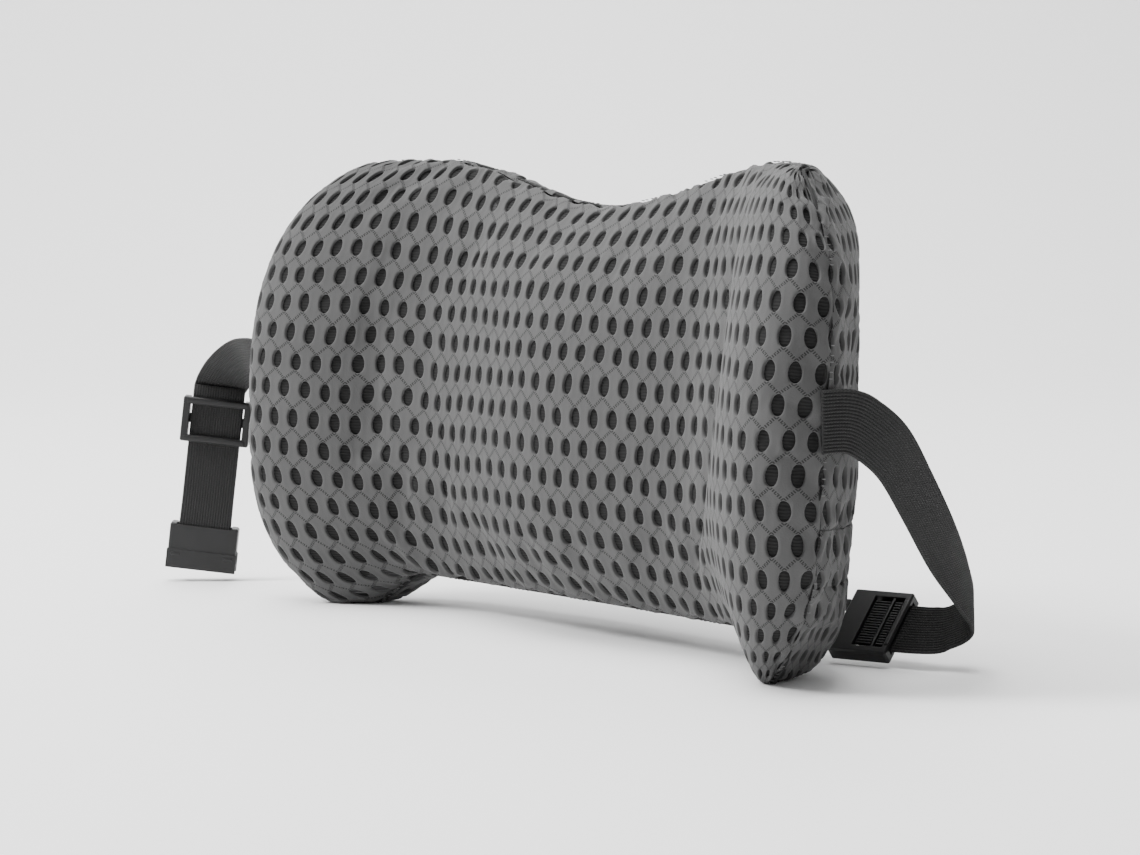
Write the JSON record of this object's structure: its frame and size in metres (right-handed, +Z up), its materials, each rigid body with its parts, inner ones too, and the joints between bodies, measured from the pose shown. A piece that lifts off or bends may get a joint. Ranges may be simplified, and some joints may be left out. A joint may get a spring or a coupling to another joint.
{
  "type": "lumbar support cushion",
  "caption": "Butterfly-shaped lumbar cushion in grey spacer mesh with a zipped back, an elastic strap, a webbing strap with tri-glide and a side-release buckle.",
  "frame": {"origin": "middle of the whole part's footprint, on the surface that the two lobes rest on", "axes": "+X along the cushion's length towards the elastic strap's end, +Y out of its back, +Z up"},
  "size_m": [0.4902, 0.127, 0.2066],
  "materials": {
    "foam": "open-cell polyurethane memory foam",
    "liner_fabric": "thin knitted polyester",
    "mesh_fabric": "knitted polyester spacer mesh with staggered oval openings",
    "zip_tape": "woven polyester tape",
    "zip_coil": "nylon coil",
    "zip_metal": "black enamelled zinc",
    "webbing": "woven polypropylene webbing",
    "elastic": "ribbed woven elastic",
    "buckle_plastic": "moulded acetal"
  },
  "bodies": {
    "cushion": {"foam_core": "foam", "inner_liner": "liner_fabric", "cover_front": "mesh_fabric", "cover_back_upper": "mesh_fabric", "cover_back_lower": "mesh_fabric", "zip_tape_upper": "zip_tape", "zip_tape_lower": "zip_tape", "zip_coil_upper": "zip_coil", "zip_coil_lower": "zip_coil", "zip_tab_left": "zip_tape", "zip_tab_right": "zip_tape"},
    "zip_slider_body": {"zip_slider": "zip_metal"},
    "zip_pull_body": {"zip_pull": "zip_metal"},
    "webbing_strap": {"strap_left": "webbing"},
    "glide": {"tri_glide": "buckle_plastic"},
    "socket": {"buckle_socket": "buckle_plastic"},
    "elastic_strap": {"strap_right": "elastic"},
    "plug": {"buckle_plug": "buckle_plastic"},
    "arm_upper": {"buckle_arm_upper": "buckle_plastic"},
    "arm_lower": {"buckle_arm_lower": "buckle_plastic"}
  },
  "joints": [
    {"name": "zip_run", "type": "hinge", "parent": "cushion", "child": "zip_slider_body", "pos_m": [0.03808, -0.58133, 0.10318], "axis": [0, 0.0758, 0.9971], "range_deg": [0, 19.69]},
    {"name": "zip_pull_flip", "type": "hinge", "parent": "zip_slider_body", "child": "zip_pull_body", "pos_m": [0.14457, 0.03063, 0.05663], "axis": [0, -0.0758, -0.9971], "range_deg": [0, 175]},
    {"name": "webbing_swing", "type": "hinge", "parent": "cushion", "child": "webbing_strap", "pos_m": [-0.16502, -0.04121, 0.107], "axis": [0, 0, 1], "range_deg": [-60, 40], "stiffness_Nm_per_rad": 0.02},
    {"name": "glide_slide", "type": "slide", "parent": "webbing_strap", "child": "glide", "axis": [-0.1003, -0.0702, -0.9925], "range_m": [-0.004, 0.016]},
    {"name": "socket_tilt", "type": "hinge", "parent": "webbing_strap", "child": "socket", "pos_m": [-0.23004, -0.03933, 0.02553], "axis": [0.5832, 0.8041, -0.1158], "range_deg": [-40, 40]},
    {"name": "elastic_swing", "type": "hinge", "parent": "cushion", "child": "elastic_strap", "pos_m": [0.24208, -0.04121, 0.107], "axis": [0, 0, 1], "range_deg": [-70, 0], "stiffness_Nm_per_rad": 0.03},
    {"name": "plug_adjust", "type": "slide", "parent": "elastic_strap", "child": "plug", "axis": [0.9507, 0.3102, 0], "range_m": [-0.01, 0.005]},
    {"name": "arm_upper_squeeze", "type": "hinge", "parent": "plug", "child": "arm_upper", "pos_m": [0.16023, 0.04135, 0.02145], "axis": [0.2116, -0.6484, 0.7314], "range_deg": [0, 10], "stiffness_Nm_per_rad": 0.05},
    {"name": "arm_lower_squeeze", "type": "hinge", "parent": "plug", "child": "arm_lower", "pos_m": [0.16472, 0.02758, 0.00795], "axis": [-0.2116, 0.6484, -0.7314], "range_deg": [0, 10], "stiffness_Nm_per_rad": 0.05}
  ],
  "couplings": [
    {"joint": "arm_lower_squeeze", "follows": "arm_upper_squeeze", "ratio": 1}
  ]
}
